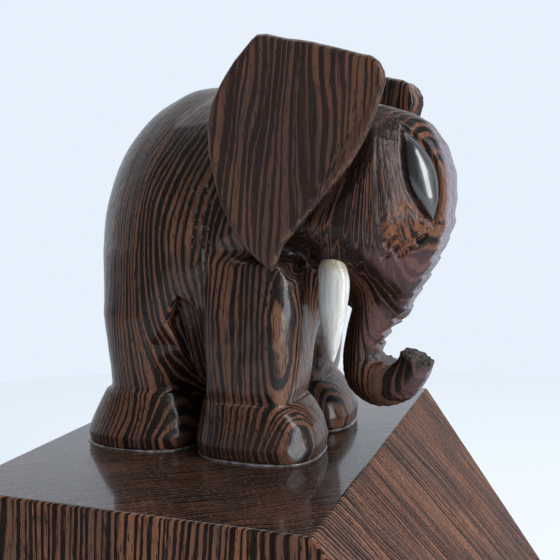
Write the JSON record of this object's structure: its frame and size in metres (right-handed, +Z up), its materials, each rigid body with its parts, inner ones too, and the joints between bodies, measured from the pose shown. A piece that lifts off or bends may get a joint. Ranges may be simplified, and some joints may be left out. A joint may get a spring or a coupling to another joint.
{
  "type": "carved wooden elephant",
  "caption": "Standing carved elephant with raised leaf ears and pale tusks, glued to a solid wooden plinth with a sloping front face.",
  "frame": {"origin": "bottom centre of the whole object's box, on the surface that it stands on", "axes": "+Z up, the elephant looks along -Y over the plinth's sloping front, +X is the elephant's left"},
  "size_m": [0.08, 0.0752, 0.0973],
  "materials": {
    "figure_wood": "striped wenge under a satin gloss lacquer, with dark open pores",
    "plinth_wood": "striped wenge under a thin satin lacquer, with the pores left open",
    "tusk_bone": "polished cream bone with faint lengthwise grain",
    "glue": "thin dried glue, slightly glossy",
    "dowel_wood": "plain beech, unfinished",
    "felt": "dense dark green felt"
  },
  "bodies": {
    "root": {"elephant": "figure_wood", "tusk_right": "tusk_bone", "tusk_left": "tusk_bone", "glue_bed_front_right": "glue", "glue_bed_front_left": "glue", "glue_bed_rear_right": "glue", "glue_bed_rear_left": "glue", "dowel_front_right": "dowel_wood", "dowel_rear_left": "dowel_wood", "plinth": "plinth_wood", "felt_base": "felt"}
  },
  "joints": []
}
